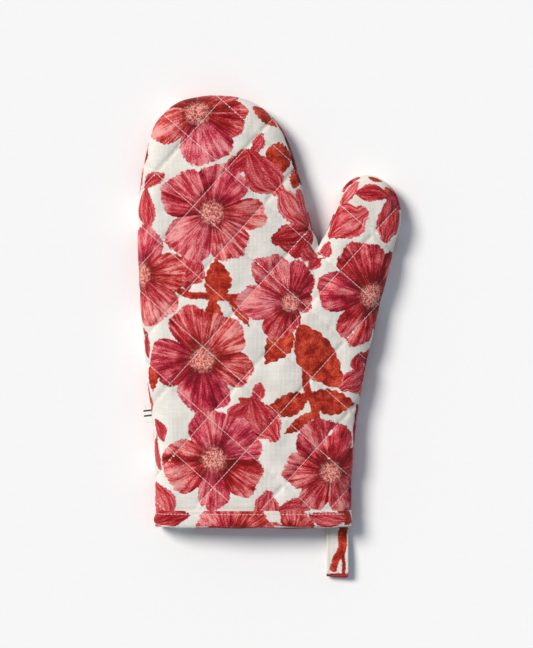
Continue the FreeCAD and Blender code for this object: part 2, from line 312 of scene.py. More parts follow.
def panelSkin(side, step):
    # side is "front" or "back"
    points, normals = outlineOf(step)
    count = len(points)
    reach = form[side + "Round"]
    centres = points - normals * reach
    rolled = seamTurn(points)
    rings = []
    if side == "front":
        number = max(6, round(reach * math.pi / 2 / step))
        for k in range(number + 1):
            rings.append(("front", rolled + (math.pi / 2 - rolled) * k / number))
    else:
        over = max(2, round(6.0 / step))
        for k in range(over + 1):
            rings.append(("front", rolled * (1 - k / over)))
        number = max(5, round(reach * math.pi / 2 / step))
        for k in range(number + 1):
            rings.append(("back", -math.pi / 2 * k / number * np.ones(count)))
    centre, normal, turn, kind = [], [], [], []
    for ringKind, angle in rings:
        radius = form[ringKind + "Round"]
        centre.append(points - normals * radius)
        normal.append(normals)
        turn.append(angle)
        kind.append(np.full(count, ringKind == "front"))
    faces = []
    for ring in range(len(rings) - 1):
        base = ring * count
        for k in range(count - 1):
            faces.append([base + k, base + k + 1, base + count + k + 1, base + count + k])
    centre, normal = np.concatenate(centre), np.concatenate(normal)
    turn, kind = np.concatenate(turn), np.concatenate(kind)
    # the middle, filled in from the last ring and a straight line across the mouth
    lastRing = (len(rings) - 1) * count
    acrossNumber = round(abs(centres[-1, 0] - centres[0, 0]) / step)
    share = np.linspace(0, 1, acrossNumber + 1)[1:-1, None]
    mouthLine = centres[-1] * (1 - share) + centres[0] * share
    loop = np.concatenate([centres, mouthLine])
    verts, inner, origins = fillLoop(loop, step)
    index = np.empty(len(verts), int)
    extra = []
    for number, (vert, origin) in enumerate(zip(verts, origins)):
        known = [k for k in origin if k < count]
        if known:
            index[number] = lastRing + known[0]
        else:
            index[number] = len(centre) + len(extra)
            extra.append(vert)
    extra = np.array(extra)
    centre = np.concatenate([centre, extra])
    normal = np.concatenate([normal, np.zeros_like(extra)])
    upright = math.pi / 2 if side == "front" else -math.pi / 2
    turn = np.concatenate([turn, np.full(len(extra), upright)])
    kind = np.concatenate([kind, np.full(len(extra), side == "front")])
    for face in inner:
        ring = [int(index[k]) for k in face]
        if len(set(ring)) == len(ring):
            faces.append(ring)
    faces = orient(faces, centre, turn, side)
    distance = np.where(normal.any(1), 0, edgeDistance(centre))
    return {"centre": centre, "normal": normal, "turn": turn, "front": kind, "faces": faces,
            "distance": distance, "side": side}


def orient(faces, centre, turn, side):
    # band quads and filled triangles all face outwards
    result = []
    for face in faces:
        if len(face) == 4:
            result.append(face[::-1])
            continue
        a, b, c = (centre[k] for k in face)
        area = (b[0] - a[0]) * (c[1] - a[1]) - (b[1] - a[1]) * (c[0] - a[0])
        result.append(face if (area > 0) == (side == "front") else face[::-1])
    return result


def fabricPlace(skin):
    # where each point lies on the flat cloth, rolled out sideways from the middle
    radius = np.where(skin["front"], form["frontRound"], form["backRound"])
    turn = skin["turn"]
    arc = np.where(skin["front"], radius * (math.pi / 2 - turn), radius * (math.pi / 2 + turn))
    if skin["side"] == "back":
        over = form["backRound"] * math.pi / 2 + form["frontRound"] * turn
        arc = np.where(skin["front"], over, arc)
        centre = np.where(skin["front"][:, None],
                          skin["centre"] + skin["normal"] * (form["frontRound"] - form["backRound"]),
                          skin["centre"])
        return centre + skin["normal"] * arc[:, None]
    return skin["centre"] + skin["normal"] * arc[:, None]


creases = [
    # soft folds pressed into the front: start, end, depth and width
    ((37, 62), (26, 20), 2.0, 4.5),
    ((33, 60), (6, 46), 1.3, 4.5),
    ((44, 60), (58, 42), 1.2, 4.5),
    ((-14, 150), (4, 128), 1.0, 4.5),
    ((10, 160), (20, 132), 0.8, 4.0),
    ((-88, 20), (-70, 30), 0.8, 4.0),
    ((62, -20), (44, -8), 0.8, 4.0),
    ((66, -70), (48, -62), 0.7, 4.0),
    ((52, -128), (46, -112), 0.6, 4.0),
    ((-60, -128), (-52, -114), 0.5, 4.0),
    ((4, -128), (8, -112), 0.5, 4.0),
]


def relief(skin):
    # how far the quilted surface stands out or sinks
    place = skin["centre"] + skin["normal"] * (form["frontRound"] * np.cos(skin["turn"]))[:, None]
    x, y = place[:, 0], place[:, 1]
    gap = quiltGap(x, y)
    height = quilt["puff"] * (1 - np.exp(-gap / quilt["puffWidth"]))
    height -= quilt["groove"] * np.exp(-(gap / quilt["grooveWidth"]) ** 2)
    height *= 1 + quilt["unevenPuff"] * ripple(x, y, 70, 11)
    height += quilt["wave"] * ripple(x, y, 34, 3) + quilt["wrinkle"] * ripple(x, y, 13, 4)
    height += quilt["pucker"] * ripple(x, y, 6, 8) * np.exp(-gap / 4)
    if skin["side"] == "front":
        for start, end, depth, width in creases:
            a, b = np.array(start, float), np.array(end, float)
            share = np.clip(((place - a) @ (b - a)) / ((b - a) @ (b - a)), 0, 1)
            away = np.linalg.norm(place - a - share[:, None] * (b - a), axis=1)
            height -= depth * np.exp(-(away / width) ** 2) * (1 - 0.6 * share)
    fromSeam = np.where(skin["normal"].any(1), np.abs(skin["turn"]) * form["frontRound"], 30)
    height *= smoothStep(fromSeam, 0, 9) * 0.9 + 0.1
    nearMouth = smoothStep(place[:, 1], mouthY + 13, mouthY + 24)
    height *= quilt["calmAtMouth"] + (1 - quilt["calmAtMouth"]) * nearMouth
    fromBinding = place[:, 1] - bindingHigh[1] - 1.0
    return height - quilt["mouthDip"] * np.exp(-(fromBinding / quilt["mouthDipWidth"]) ** 2)


def seamDip(skin):
    # the panels are drawn in where they are sewn together
    if skin["side"] == "front":
        rolled = np.where(skin["normal"].any(1), skin["turn"] - skin["turnAtSeam"], 2)
        along = rolled * form["frontRound"]
    else:
        along = np.where(skin["front"], (skin["turnAtSeam"] - skin["turn"]) * form["frontRound"],
                         skin["turnAtSeam"] * form["frontRound"] - skin["turn"] * form["backRound"])
        along = np.where(skin["normal"].any(1), along, 30)
    dip = seam["dip"] * np.exp(-(along / seam["dipWidth"]) ** 2)
    return seam["bead"] * np.exp(-((along - seam["beadAt"]) / seam["beadWidth"]) ** 2) - dip


def smoothShape(skin, inset):
    # plan and height of one layer before its relief
    radius = np.where(skin["front"], form["frontRound"], form["backRound"]) - inset
    flatness = np.where(skin["front"], form["frontFlatness"], 1.0)
    centreZ = np.where(skin["front"], frontCentreZ, backCentreZ)
    plan = skin["centre"] + skin["normal"] * (radius * np.cos(skin["turn"]))[:, None]
    inward = np.clip(skin["distance"] - form["frontRound"], 0, None)
    crown = np.where(skin["front"], form["crown"] * (1 - np.exp(-(inward / form["crownReach"]) ** 2)), 0)
    return plan, centreZ + flatness * radius * np.sin(skin["turn"]) + crown


def layerPoints(skin, inset, reliefShare=1.0, dip=True):
    plan, height = smoothShape(skin, inset)
    turn = skin["turn"]
    stand = skin["relief"] * reliefShare
    if dip:
        stand = stand + skin["dip"]
    if skin["side"] == "back":
        # the back is pressed flat by what it lies on, so its relief only goes inwards
        resting = smoothStep(-np.sin(turn), 0.8, 1.0) * ~skin["front"]
        pressed = np.minimum(stand - form["pressedIn"], 0) * resting * form["pressedShare"]
        stand = stand * (1 - resting) + pressed
    plan = plan + skin["normal"] * (stand * np.cos(turn))[:, None]
    height = height + stand * np.sin(turn)
    return np.column_stack([plan, height])


def makeSkin(side, step):
    skin = panelSkin(side, step)
    points, _ = outlineOf(step)
    count = len(points)
    atSeam = np.zeros(len(skin["turn"]))
    banded = skin["normal"].any(1)
    rings = int(banded.sum()) // count
    atSeam[:rings * count] = np.tile(seamTurn(points), rings)
    skin["turnAtSeam"] = atSeam
    skin["relief"] = relief(skin)
    skin["dip"] = seamDip(skin)
    skin["fabric"] = fabricPlace(skin)
    return skin


def addObject(name, data):
    item = bpy.data.objects.new(name, data)
    bpy.context.scene.collection.objects.link(item)
    return item


def addPiece(name, mesh, body, nodes):
    piece = addObject(name, mesh)
    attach(piece, body)
    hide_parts(*nodes)
    return piece


def newPiece(name, points, faces, body, nodes, material):
    mesh = bpy.data.meshes.new(name)
    mesh.from_pydata([tuple(p) for p in np.asarray(points) * mm], [], [list(f) for f in faces])
    mesh.update()
    mesh.shade_smooth()
    mesh.materials.append(material)
    return addPiece(name, mesh, body, nodes)


def closedShell(outer, inner, faces):
    # two copies of one skin joined round their rim
    count = len(outer)
    edges = {}
    for face in faces:
        for a, b in zip(face, face[1:] + face[:1]):
            edges[(a, b)] = edges.get((a, b), 0) + 1
    result = [list(f) for f in faces] + [[k + count for k in f[::-1]] for f in faces]
    for a, b in edges:
        if (b, a) not in edges:
            result.append([b, a, a + count, b + count])
    return np.concatenate([outer, inner]), result


def store(piece, name, values):
    values = np.asarray(values, np.float32)
    kind = "FLOAT" if values.ndim == 1 else "FLOAT_VECTOR"
    item = piece.data.attributes.new(name, kind, "POINT")
    item.data.foreach_set("value" if values.ndim == 1 else "vector", values.ravel())


# The print, in mm on the flat cloth. Blossoms: x, y, radius, turn, and for some squeeze and lean.
blossoms = [
    (-54, 168, 39, 20),
    (-43, 93, 39, 112),
    (-97, 47, 37, 38),
    (16, 26, 29, 158, 1.05, 0.48),
    (77.5, 31, 41, 62),
    (-50, -16.5, 40, 12),
    (-41.5, -91, 40, 78),
    (46, -101, 35, 130, 0.98, 0.14),
    (-20, -168, 38, 30),
    (-116, -140, 34, 55),
    (106, -72, 34, 15),
    (128, 112, 36, 80),
    (34, 198, 34, 0),
    (-122, 132, 30, 60),
    (48, -194, 36, 20),
    (112, -160, 33, 90),
    (-130, -66, 32, 10),
    (132, 8, 30, 40),
    (104, 186, 34, 70),
    # the strip that the binding is cut from
    (62, -424, 33, 90),
    (196, -410, 24, 30),
    (252, -430, 34, 80),
    (109, -421, 22, 40),
    (316, -404, 27, 10),
]
# Buds and loose petals: base, tip, width and tone (below 0 is darker)
petals = [
    ((-15, 138), (6, 111), 25, 0.0),
    ((-16, 137), (-31, 126), 13, -0.1),
    ((-13, 138), (-6, 151), 9, 0.0),
    ((28, 84), (10, 108), 17, 0.08),
    ((31, 82), (22, 110), 9, 0.05),
    ((33, 80), (6, 73), 22, -0.14),
    ((34, 79), (20, 62), 15, -0.16),
    ((37, 60), (24, 68), 13, 0.0),
    ((37, 60), (44, 70), 10, 0.0),
    ((37, 62), (31, 52), 9, -0.08),
    ((-94, 112), (-91, 85), 16, 0.0),
    ((-97, 112), (-80, 121), 10, -0.06),
    ((-69, 42), (-54, 59), 22, -0.02),
    ((-62, 34), (-58, 46), 7, -0.16),
    ((-13, -47), (3, -73), 25, 0.0),
    ((-15, -48), (-30, -59), 12, -0.06),
    ((-12, -50), (-7, -35), 9, -0.04),
    ((74, -24), (56, -37), 18, 0.0),
    ((70, -12), (66, -26), 11, -0.14),
    ((91, 104), (88, 75), 21, -0.02),
    ((89, 105), (67, 108), 12, -0.12),
    ((46, 77), (68, 92), 30, 0.05),
    ((51, 98), (65, 117), 9, 0.08),
    ((-86, -62), (-80, -76), 10, -0.05),
    ((-88, -74), (-84, -98), 8, 0.0),
    ((-89, -110), (-74, -132), 16, 0.04),
    ((-8, -142), (-1, -118), 18, 0.04),
    ((6, -130), (30, -126), 12, 0.0),
    ((62, -140), (54, -118), 13, -0.03),
    ((-98, 6), (-92, -14), 7, -0.1),
    # binding strip
    ((30, -404), (4, -409), 18, -0.12),
    ((100, -399), (112, -412), 13, 0.04),
    ((122, -404), (146, -408), 12, 0.02),
    ((170, -396), (160, -420), 12, 0.0),
    ((224, -398), (216, -424), 14, -0.05),
    ((284, -420), (282, -398), 14, 0.03),
    # across the loop's folded end: a dark band, part print and part painted shade on the fold's rounding
    ((-14, -538), (13, -537), 8.5, -0.2),
]
# Leaves: base, tip and width
leaves = [
    ((-41, 26), (-40, 59), 20),
    ((-31, 31), (-15, 8), 9),
    ((-43, 30), (-35, -5), 14),
    ((14, 12), (-3, -20), 20),
    ((22, 10), (56, -39), 29),
    ((30, -43), (-3, -55), 17),
    ((29, -43), (65, -50), 19),
    ((34, -55), (11, -72), 9),
    ((-3, 138), (20, 135), 24),
    ((-12, 174), (6, 158), 13),
    ((18, 111), (20, 127), 9),
    ((-22, 140), (-11, 133), 7),
    ((-23, -45), (-12, -51), 6),
    ((88, 114), (92, 99), 9),
    ((74, 122), (86, 118), 6),
    ((-90, -18), (-88, -41), 10),
    ((-96, -34), (-92, -58), 8),
    ((84, -8), (66, -20), 9),
    ((-104, -66), (-98, -90), 12),
    ((24, -146), (60, -154), 16),
    ((110, 44), (124, 70), 18),
    ((-126, 96), (-110, 80), 16),
    ((60, 152), (84, 176), 22),
    ((100, -118), (84, -134), 16),
    # binding strip
    ((170, -412), (182, -398), 10),
    ((288, -398), (274, -414), 11),
]
# Stems: the points they pass through and their width
stems = [
    (((-70, 37), (-58, 31), (-42, 30), (-14, 31)), 5.2),
    (((27, -8), (27, -30), (30, -43), (34, -54), (41, -76)), 5.8),
    (((-11, 136), (-22, 137)), 4.0),
    (((-10, -48), (-18, -47)), 4.0),
    (((93, 112), (87, 105)), 4.0),
    # binding strip, running on into the loop's own piece
    (((146, -396), (150, -404), (153, -418)), 8.0),
    (((5, -499), (4, -512), (1, -521)), 6.6),
    (((2, -518), (-3, -531)), 5.4),
    (((3, -516), (5, -530), (5, -541)), 3.0),
    (((-4, -556), (3, -570), (2, -586)), 4.4),
]
petalCount = 5
petalShift = (0.17, 0.10)  # how unequal the petals are


def petalAngle(turn, seed):
    # which petal a direction falls in, and how far across it; the material repeats this sum
    return (turn * petalCount / math.tau + petalShift[0] * np.sin(turn + seed * 2.4)
            + petalShift[1] * np.sin(2 * turn + seed * 4.1))


def blossomField(xy):
    edge = np.full(len(xy), 1e3)
    place = np.zeros((len(xy), 3))
    for number, (x, y, radius, turn, *shape) in enumerate(blossoms):
        squeeze, lean = shape or (1.0, 0.0)
        random = np.random.default_rng(100 + number)
        notch = random.uniform(0.42, 0.82, petalCount)
        length = random.uniform(0.93, 1.06, petalCount)
        along = direction(turn)
        away = xy - (x, y)
        u = (away @ along) / radius
        v = (away @ np.array([-along[1], along[0]])) / radius / squeeze
        r, angle = np.hypot(u, v), np.arctan2(v, u)
        position = petalAngle(angle, number)
        petal = np.floor(position).astype(int)
        across = position - petal - 0.5
        later = notch[(petal + 1) % petalCount]
        earlier = notch[petal % petalCount]
        gap = np.where(across > 0, later, earlier)
        rim = np.clip(np.cos(math.pi * across), 1e-6, 1) ** 0.46
        tip = length[petal % petalCount] * (1 + 0.035 * np.cos(across * 4 * math.pi + petal * 2))
        reach = (gap + (tip - gap) * rim) * (1 + lean * np.cos(angle))
        distance = (r - reach) * radius * 0.8
        nearer = distance < edge
        edge = np.where(nearer, distance, edge)
        place[nearer] = np.stack([u, v, np.full(len(u), number)], 1)[nearer]
    return edge, place


def stripField(xy, strips, widthAt, marks):
    # strips are (base, tip, width, ...); place is how far along, how far across and the strip's mark
    edge = np.full(len(xy), 1e3)
    place = np.zeros((len(xy), 3))
    for number, (base, tip, width, *_) in enumerate(strips):
        a, b = np.array(base, float), np.array(tip, float)
        length = np.linalg.norm(b - a)
        along = (b - a) / length
        away = xy - a
        u = np.clip((away @ along) / length, 0, 1)
        v = away @ np.array([-along[1], along[0]])
        v = v - 0.12 * width * np.sin(math.pi * u) * (1 if number % 2 else -1)
        beyond = away @ along - u * length
        half = widthAt(u) * width / 2
        distance = (np.hypot(v, beyond) - half) * 0.9
        nearer = distance < edge
        edge = np.where(nearer, distance, edge)
        across = v / np.maximum(half, 0.8)
        place[nearer] = np.stack([u, across, np.full(len(u), marks[number])], 1)[nearer]
    return edge, place


def leafWidth(u):
    return np.sin(math.pi * u ** 0.9) ** 0.9


def petalWidth(u):
    return 0.22 * (1 - u) + np.sin(math.pi * np.clip(u, 0, 1) ** 1.5 * 0.93) ** 0.55


def stemWidth(u):
    return np.ones_like(u)


def stemStrips():
    strips = []
    for points, width in stems:
        for a, b in zip(points, points[1:]):
            strips.append((a, b, width))
    return strips


def setPrint(piece, fabric, shift=(0.0, 0.0)):
    # fabric is each vertex's place on the flat cloth
    xy = np.asarray(fabric, float) + shift
    store(piece, "cloth", np.column_stack([xy, np.zeros(len(xy))]))
    edge, place = blossomField(xy)
    store(piece, "blossomEdge", edge)
    store(piece, "blossomPlace", place)
    # a petal's mark is its tone; a leaf's is how deep its teeth are
    edge, place = stripField(xy, petals, petalWidth, [strip[3] for strip in petals])
    store(piece, "petalEdge", edge)
    store(piece, "petalPlace", place)
    leafEdge, leafPlace = stripField(xy, leaves, leafWidth, [min(0.07 * strip[2], 1.3) for strip in leaves])
    strips = stemStrips()
    stemEdge, stemPlace = stripField(xy, strips, stemWidth, [0.3] * len(strips))
    nearer = stemEdge < leafEdge
    store(piece, "leafEdge", np.where(nearer, stemEdge, leafEdge))
    store(piece, "leafPlace", np.where(nearer[:, None], stemPlace, leafPlace))


def linear(code):
    # an sRGB hex colour as linear red, green, blue and alpha
    channels = [int(code[k:k + 2], 16) / 255 for k in (1, 3, 5)]
    return tuple(c / 12.92 if c <= 0.04045 else ((c + 0.055) / 1.055) ** 2.4 for c in channels) + (1.0,)


def add(tree, kind, settings=None, inputs=None):
    node = tree.nodes.new(kind)
    for key, value in (settings or {}).items():
        setattr(node, key, value)
    for key, value in (inputs or {}).items():
        if isinstance(value, bpy.types.NodeSocket):
            tree.links.new(value, node.inputs[key])
        else:
            node.inputs[key].default_value = value
    return node


def newMaterial(name, settings):
    material = bpy.data.materials.new(name)
    material.use_nodes = True
    tree = material.node_tree
    shader = tree.nodes["Principled BSDF"]
    for key, value in settings.items():
        shader.inputs[key].default_value = value
    return material, tree, shader


def ramped(tree, value, stops):
    ramp = add(tree, "ShaderNodeValToRGB", {}, {"Fac": value})
    elements = ramp.color_ramp.elements
    while len(elements) < len(stops):
        elements.new(0.5)
    for element, (position, code) in zip(elements, stops):
        element.position = position
        element.color = linear(code)
    return ramp.outputs[0]


def split(tree, vector):
    return add(tree, "ShaderNodeSeparateXYZ", {}, {0: vector}).outputs


def combine(tree, *parts):
    return add(tree, "ShaderNodeCombineXYZ", {}, dict(enumerate(parts))).outputs[0]


def objectPlace(tree):
    return add(tree, "ShaderNodeTexCoord").outputs["Object"]


def mulAdd(tree, value, share, rest):
    # value * share + rest
    inputs = {0: value, 1: share, 2: rest}
    return add(tree, "ShaderNodeMath", {"operation": "MULTIPLY_ADD"}, inputs).outputs[0]


def maths(tree, operation, a, b=0.0):
    return add(tree, "ShaderNodeMath", {"operation": operation}, {0: a, 1: b}).outputs[0]


def ranged(tree, value, low, high, atLow, atHigh):
    inputs = {"Value": value, 1: low, 2: high, 3: atLow, 4: atHigh}
    return add(tree, "ShaderNodeMapRange", {}, inputs).outputs[0]


def noise(tree, place, scale, detail=4.0, roughness=0.6, distortion=0.0):
    return add(tree, "ShaderNodeTexNoise", {}, {"Vector": place, "Scale": scale, "Detail": detail,
                                               "Roughness": roughness, "Distortion": distortion}).outputs[0]


def chance(tree, number):
    # a random 0 to 1 for each number
    return add(tree, "ShaderNodeTexWhiteNoise", {"noise_dimensions": "1D"}, {"W": number}).outputs["Value"]


def blend(tree, share, first, second):
    return add(tree, "ShaderNodeMix", {"data_type": "RGBA"}, {0: share, 6: first, 7: second}).outputs[2]


def stretched(tree, place, x, y, z=1.0):
    return add(tree, "ShaderNodeMapping", {}, {"Vector": place, "Scale": (x, y, z)}).outputs[0]


weave = {
    "yarn": 0.95,  # spacing in mm; the real 0.45 mm is too fine to show, so it is drawn coarser
    "depth": 0.00020,
    "strength": 0.6,
    "slubLong": 0.10,  # thick places in the yarn: about 10 mm long and 1 mm wide
    "slubWide": 1.1,
}


def addWeave(tree, cloth, colour, shader, strength=1.0):
    # over and under of a plain weave, with uneven yarns: sets the bump, and tints the colour from the same
    # height, so the dips between yarns get painted shade and the crests a painted highlight, along with
    # random yarn tone
    scale = 0.314 / weave["yarn"]
    waves = []
    for axis in ("X", "Y"):
        wave = add(tree, "ShaderNodeTexWave", {"bands_direction": axis},
                   {"Vector": cloth, "Scale": scale, "Distortion": 1.2, "Detail": 2.0, "Detail Scale": 1.5})
        waves.append(wave.outputs[1])
    crossing = maths(tree, "ADD", *waves)
    uneven = mulAdd(tree, noise(tree, cloth, 0.9, 4.0, 0.7), 1.6, crossing)
    weft = noise(tree, stretched(tree, cloth, weave["slubLong"], weave["slubWide"]), 1.0, 3.0)
    warp = noise(tree, stretched(tree, cloth, weave["slubWide"], weave["slubLong"]), 1.0, 3.0)
    slub = maths(tree, "ADD", weft, warp)
    height = mulAdd(tree, slub, 1.5, uneven)
    bump = add(tree, "ShaderNodeBump", {}, {"Height": height, "Distance": weave["depth"],
                                           "Strength": weave["strength"] * strength})
    tree.links.new(bump.outputs[0], shader.inputs["Normal"])
    # painted shade and highlight: darker where the weave's height is low, lighter where it is high; the
    # noise in it adds random yarn tone
    tint = ranged(tree, uneven, 0.6, 2.6, 0.89, 1.08)
    # thick places in the yarn stand higher in the bump and are painted lighter the same way
    tint = maths(tree, "MULTIPLY", tint, ranged(tree, slub, 0.7, 1.3, 0.93, 1.05))
    tinted = add(tree, "ShaderNodeVectorMath", {"operation": "SCALE"}, {0: colour, "Scale": tint})
    tree.links.new(tinted.outputs[0], shader.inputs["Base Color"])


def groundCloth(tree, cloth):
    # undyed cotton: warm off-white, a little greyer in patches
    patch = noise(tree, cloth, 0.035, 5.0, 0.6)
    return ramped(tree, patch, [(0.32, "#d8d3c9"), (0.5, "#e2ddd5"), (0.68, "#e9e6df")])


inks = {
    "blossom": [(0.12, "#72040a"), (0.25, "#981118"), (0.37, "#ae212b"), (0.48, "#be323d"),
                (0.59, "#cc4c54"), (0.73, "#db7878"), (0.9, "#e59d97")],
    "hueSpread": 0.014,  # some petals are pinker, some more salmon
    "leaf": [(0.26, "#7a1409"), (0.38, "#9c2012"), (0.5, "#b32c1a"), (0.62, "#c23c27"), (0.78, "#d25a40")],
    "halo": "#571a14",
    "heartDark": "#7d1f1e",
    "heart": "#ad4341",
    "heartLight": "#eda699",
    "edge": 0.22,  # mm over which an ink's border fades
}


def printedCotton():
    # screen-printed plain-weave cotton: matt, soft-edged ink, a little fuzz on the surface
    finish = {"Roughness": 0.92, "Sheen Weight": 0.12, "Sheen Roughness": 0.5, "Specular IOR Level": 0.2}
    material, tree, shader = newMaterial("printedCotton", finish)
    read = {}
    for name in ("cloth", "blossomEdge", "blossomPlace", "petalEdge", "petalPlace", "leafEdge", "leafPlace"):
        node = add(tree, "ShaderNodeAttribute", {"attribute_name": name})
        read[name] = node.outputs["Fac"] if name.endswith("Edge") else node.outputs["Vector"]
    cloth = read["cloth"]
    rag = noise(tree, cloth, 0.40, 5.0, 0.66)
    speckle = noise(tree, cloth, 1.35, 2.0, 0.6)

    def inked(edge, ragged):
        # 1 where the ink is, its border ragged by that many mm
        moved = mulAdd(tree, rag, ragged * 2, edge)
        return ranged(tree, moved, ragged - inks["edge"], ragged + inks["edge"], 1.0, 0.0)

    def streaks(across, along, number, fineness):
        fan = maths(tree, "MULTIPLY", across, fineness)
        run = maths(tree, "MULTIPLY", along, 1.5)
        layer = maths(tree, "MULTIPLY", number, 3.7)
        return noise(tree, combine(tree, fan, run, layer), 1.0, 6.0, 0.72, 0.35)

    # blossom: streaks fan out along each petal, darker toward the heart and under the next petal
    u, v, seed = split(tree, read["blossomPlace"])
    r = add(tree, "ShaderNodeVectorMath", {"operation": "LENGTH"}, {0: combine(tree, u, v)}).outputs["Value"]
    turn = maths(tree, "ARCTAN2", v, u)
    once = maths(tree, "SINE", mulAdd(tree, seed, 2.4, turn))
    twice = maths(tree, "SINE", mulAdd(tree, seed, 4.1, maths(tree, "MULTIPLY", turn, 2.0)))
    position = maths(tree, "MULTIPLY", turn, petalCount / math.tau)
    position = mulAdd(tree, twice, petalShift[1], mulAdd(tree, once, petalShift[0], position))
    petal = maths(tree, "FLOOR", position)
    across = maths(tree, "SUBTRACT", maths(tree, "SUBTRACT", position, petal), 0.5)
    petal = maths(tree, "MODULO", maths(tree, "ADD", petal, 2.0 * petalCount), float(petalCount))
    number = mulAdd(tree, seed, float(petalCount), petal)
    tone = chance(tree, number)
    value = maths(tree, "MULTIPLY", streaks(across, r, number, 11.0), 2.5)
    value = mulAdd(tree, noise(tree, cloth, 0.08, 3.0), 1.3, value)
    value = mulAdd(tree, tone, 0.36, value)
    value = mulAdd(tree, speckle, 1.2, value)
    value = maths(tree, "SUBTRACT", value, ranged(tree, r, 0.22, 0.66, 2.44, 2.11))
    under = maths(tree, "POWER", ranged(tree, across, 0.1, 0.5, 0.0, 1.0), 4.0)
    value = mulAdd(tree, under, -0.3, value)
    blossom = ramped(tree, value, inks["blossom"])
    hue = chance(tree, maths(tree, "ADD", number, 0.37))
    spread = inks["hueSpread"]
    hue = ranged(tree, hue, 0.0, 1.0, 0.5 - spread * 0.62, 0.5 + spread * 0.38)
    blossom = add(tree, "ShaderNodeHueSaturation", {}, {"Hue": hue, "Color": blossom}).outputs[0]
    # a brown shadow round the heart, then the heart: pale curls and a few dark specks on a rosy ground
    halo = ranged(tree, r, 0.2, 0.5, 0.75, 0.0)
    halo = maths(tree, "MULTIPLY", halo, ranged(tree, rag, 0.38, 0.6, 0.0, 1.0))
    blossom = blend(tree, halo, blossom, linear(inks["halo"]))
    curl = maths(tree, "ABSOLUTE", maths(tree, "SUBTRACT", noise(tree, cloth, 0.46, 2.0, 0.5, 0.8), 0.5))
    curl = ranged(tree, curl, 0.035, 0.085, 1.0, 0.0)
    heart = blend(tree, curl, linear(inks["heart"]), linear(inks["heartLight"]))
    specks = add(tree, "ShaderNodeTexVoronoi", {"feature": "F1"}, {"Vector": cloth, "Scale": 0.5})
    specks = ranged(tree, specks.outputs["Distance"], 0.16, 0.26, 1.0, 0.0)
    heart = blend(tree, specks, heart, linear(inks["heartDark"]))
    heartEdge = mulAdd(tree, rag, 0.3, r)
    blossom = blend(tree, ranged(tree, heartEdge, 0.31, 0.41, 1.0, 0.0), blossom, heart)

    # loose petals and buds: streaks run from base to tip
    u, v, tone = split(tree, read["petalPlace"])
    value = maths(tree, "MULTIPLY", streaks(v, u, tone, 3.8), 2.4)
    value = maths(tree, "ADD", value, tone)
    value = mulAdd(tree, speckle, 1.2, value)
    value = maths(tree, "SUBTRACT", value, ranged(tree, u, 0.0, 0.6, 1.45, 1.28))
    loose = ramped(tree, value, inks["blossom"])

    # leaves and stems: mottled rust red with a darker rib and toothed edges
    u, v, teeth = split(tree, read["leafPlace"])
    rib = ranged(tree, maths(tree, "ABSOLUTE", v), 0.02, 0.16, -0.12, 0.0)
    value = mulAdd(tree, noise(tree, cloth, 0.11, 8.0, 0.74), 2.4, rib)
    value = maths(tree, "SUBTRACT", mulAdd(tree, speckle, 1.2, value), 1.30)
    leaf = ramped(tree, value, inks["leaf"])
    scallop = maths(tree, "ABSOLUTE", maths(tree, "SINE", maths(tree, "MULTIPLY", u, 6.5 * math.pi)))
    tooth = maths(tree, "SUBTRACT", 0.55, scallop)
    leafEdge = mulAdd(tree, tooth, teeth, read["leafEdge"])

    colour = groundCloth(tree, cloth)
    colour = blend(tree, inked(leafEdge, 1.3), colour, leaf)
    colour = blend(tree, inked(read["petalEdge"], 2.6), colour, loose)
    colour = blend(tree, inked(read["blossomEdge"], 2.9), colour, blossom)
    addWeave(tree, cloth, colour, shader)
    return material


def plainCloth(name, roughness, bumpShare):
    # undyed cotton without print, its pattern in mm on the finished shape
    material, tree, shader = newMaterial(name, {"Roughness": roughness, "Sheen Weight": 0.1,
                                                "Specular IOR Level": 0.2})
    cloth = stretched(tree, objectPlace(tree), 1 / mm, 1 / mm, 1 / mm)
    addWeave(tree, cloth, groundCloth(tree, cloth), shader, bumpShare)
    return material


def sewingThread(name, code):
    # mercerised cotton thread: a soft shine on a fine twist
    material, tree, shader = newMaterial(name, {"Roughness": 0.55, "Sheen Weight": 0.1})
    tint = ranged(tree, noise(tree, objectPlace(tree), 2600.0, 2.0, 0.5), 0.2, 0.8, 0.82, 1.05)
    base = add(tree, "ShaderNodeRGB")
    base.outputs[0].default_value = linear(code)
    tinted = add(tree, "ShaderNodeVectorMath", {"operation": "SCALE"}, {0: base.outputs[0], "Scale": tint})
    tree.links.new(tinted.outputs[0], shader.inputs["Base Color"])
    return material


def cottonWadding():
    # needled cotton fibre: white, tangled, no shine
    material, tree, shader = newMaterial("cottonWadding", {"Roughness": 1.0, "Specular IOR Level": 0.1})
    tangle = noise(tree, objectPlace(tree), 900.0, 8.0, 0.75, 1.2)
    bump = add(tree, "ShaderNodeBump", {}, {"Height": tangle, "Distance": 0.0006, "Strength": 0.7})
    colour = ramped(tree, tangle, [(0.3, "#d9d6cc"), (0.7, "#f3f1ea")])
    tree.links.new(colour, shader.inputs["Base Color"])
    tree.links.new(bump.outputs[0], shader.inputs["Normal"])
    return material


printCloth = printedCotton()
liningCloth = plainCloth("liningCotton", 0.93, 1.0)
waddingFibre = cottonWadding()
quiltThread = sewingThread("quiltingThread", "#e8dad3")
topThread = sewingThread("topstitchThread", "#e6c6c0")
tackThread = sewingThread("tackThread", "#f2eee8")
print("materials")


skins = {}
for side in ("front", "back"):
    skins[side] = makeSkin(side, form["grid"])
    skins[side + "Inner"] = makeSkin(side, form["innerGrid"])
    print("skin", side, len(skins[side]["turn"]), "points")

backPrint = {
    "turn": -1.0,  # the back is cut the other way up from the same cloth
    "shift": (14.0, -22.0),
}


